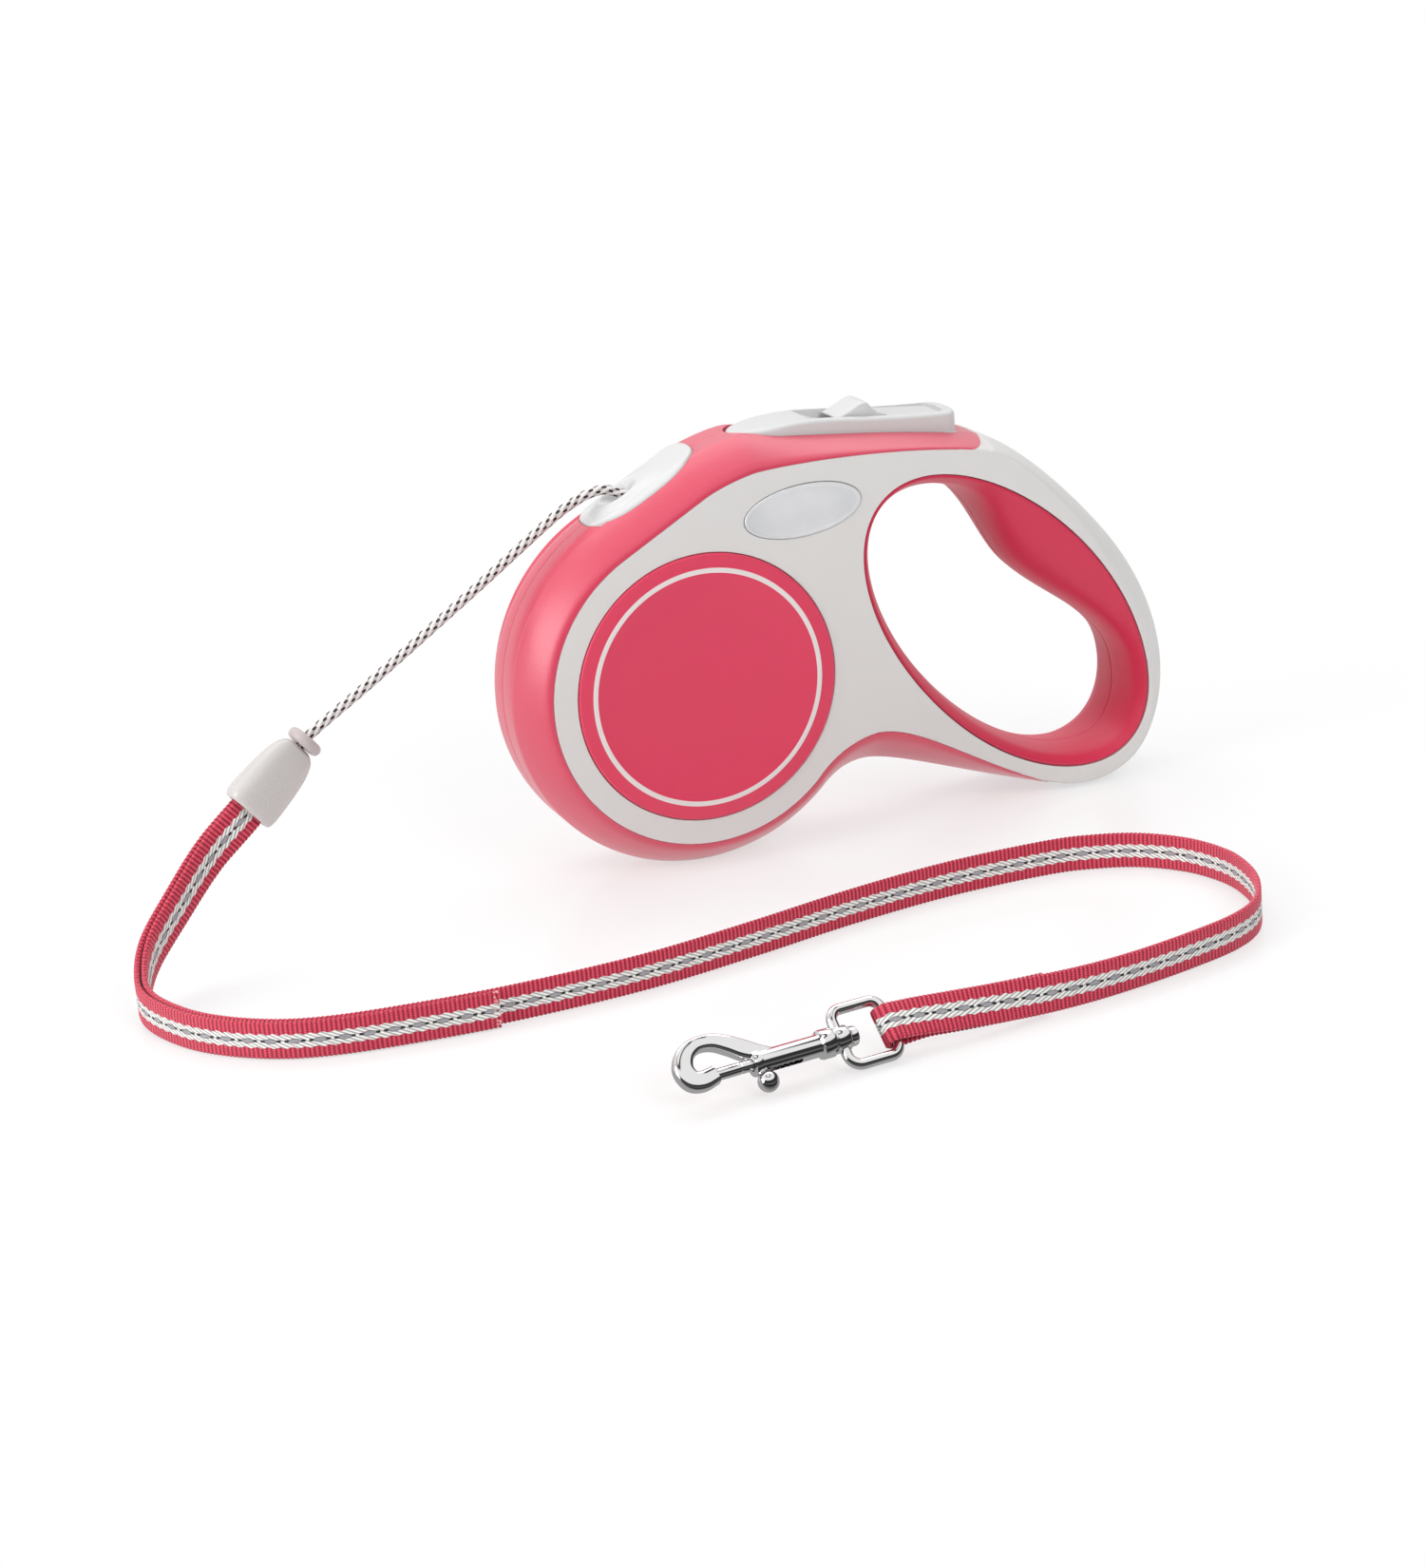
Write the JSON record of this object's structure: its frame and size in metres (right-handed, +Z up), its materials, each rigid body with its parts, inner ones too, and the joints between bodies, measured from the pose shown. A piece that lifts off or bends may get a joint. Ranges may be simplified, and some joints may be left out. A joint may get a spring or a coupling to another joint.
{
  "type": "retractable leash",
  "caption": "Hand-held retractable leash: two-tone case with a closed hand loop, thumb brake with lock, spring reel, cord, clip, webbing strap and swivel bolt snap.",
  "frame": {"origin": "on the floor under the middle of the case's length and thickness", "axes": "+X along the case from the round body to the hand loop, so the cord leaves towards -X; +Y across the thickness; +Z up"},
  "size_m": [0.2524, 0.1528, 0.0965],
  "materials": {
    "case_grey": "fine satin",
    "rim_red": "fine matte grain",
    "grip_red": "matte soft touch",
    "cover_red": "smooth satin, one pale closed ring line",
    "badge": "polished pearl",
    "pale_plastic": "smooth satin",
    "clip_grey": "smooth satin",
    "inner_plastic": "plain moulded",
    "steel": "drawn",
    "hook_chrome": "polished",
    "cord": "white braid with dark flecks",
    "webbing": "ribbed weave with a pale woven stripe"
  },
  "bodies": {
    "casing": {"left_shell": "case_grey", "right_shell": "case_grey", "left_rim": "rim_red", "right_rim": "rim_red", "left_grip": "grip_red", "right_grip": "grip_red", "left_cover": "cover_red", "right_cover": "cover_red", "left_badge": "badge", "right_badge": "badge", "nozzle": "pale_plastic", "axle": "steel", "power_spring": "steel", "button_pin": "steel", "button_spring": "steel", "case_screws": "steel", "free_cord": "cord", "cord_stop": "clip_grey", "clip_housing": "clip_grey", "clip_cover": "clip_grey", "clip_pin": "steel", "webbing": "webbing"},
    "reel": {"reel": "inner_plastic", "spring_cover": "inner_plastic", "wound_cord": "cord"},
    "button": {"brake_button": "pale_plastic", "brake_pawl": "inner_plastic"},
    "slider": {"lock_slider": "pale_plastic"},
    "ring": {"swivel_ring": "hook_chrome"},
    "hook": {"hook_body": "hook_chrome", "bolt_spring": "steel"},
    "bolt": {"hook_bolt": "hook_chrome"}
  },
  "joints": [
    {"name": "reel_spin", "type": "hinge", "parent": "casing", "child": "reel", "pos_m": [-0.037, 0, 0.0422], "axis": [0, 1, 0], "continuous": true},
    {"name": "brake_press", "type": "hinge", "parent": "casing", "child": "button", "pos_m": [-0.0185, 0, 0.0904], "axis": [0, 1, 0], "range_deg": [0, 5], "stiffness_Nm_per_rad": 0.6, "springref_deg": -8.59, "deforming": ["button_spring"]},
    {"name": "lock_slide", "type": "slide", "parent": "button", "child": "slider", "axis": [-0.9925, 0, 0.1219], "range_m": [0, 0.005]},
    {"name": "ring_swing", "type": "hinge", "parent": "casing", "child": "ring", "pos_m": [-0.04835, -0.12925, 0.0059], "axis": [-0.0794, 0.7149, 0.6947], "range_deg": [-70, 70]},
    {"name": "hook_swivel", "type": "hinge", "parent": "ring", "child": "hook", "pos_m": [-0.04835, -0.12925, 0.0059], "axis": [-0.9939, -0.1104, 0], "continuous": true},
    {"name": "bolt_slide", "type": "slide", "parent": "hook", "child": "bolt", "axis": [0.9939, 0.1104, 0], "range_m": [0, 0.007], "stiffness_N_per_m": 250, "springref_m": -0.004, "deforming": ["bolt_spring"]}
  ]
}
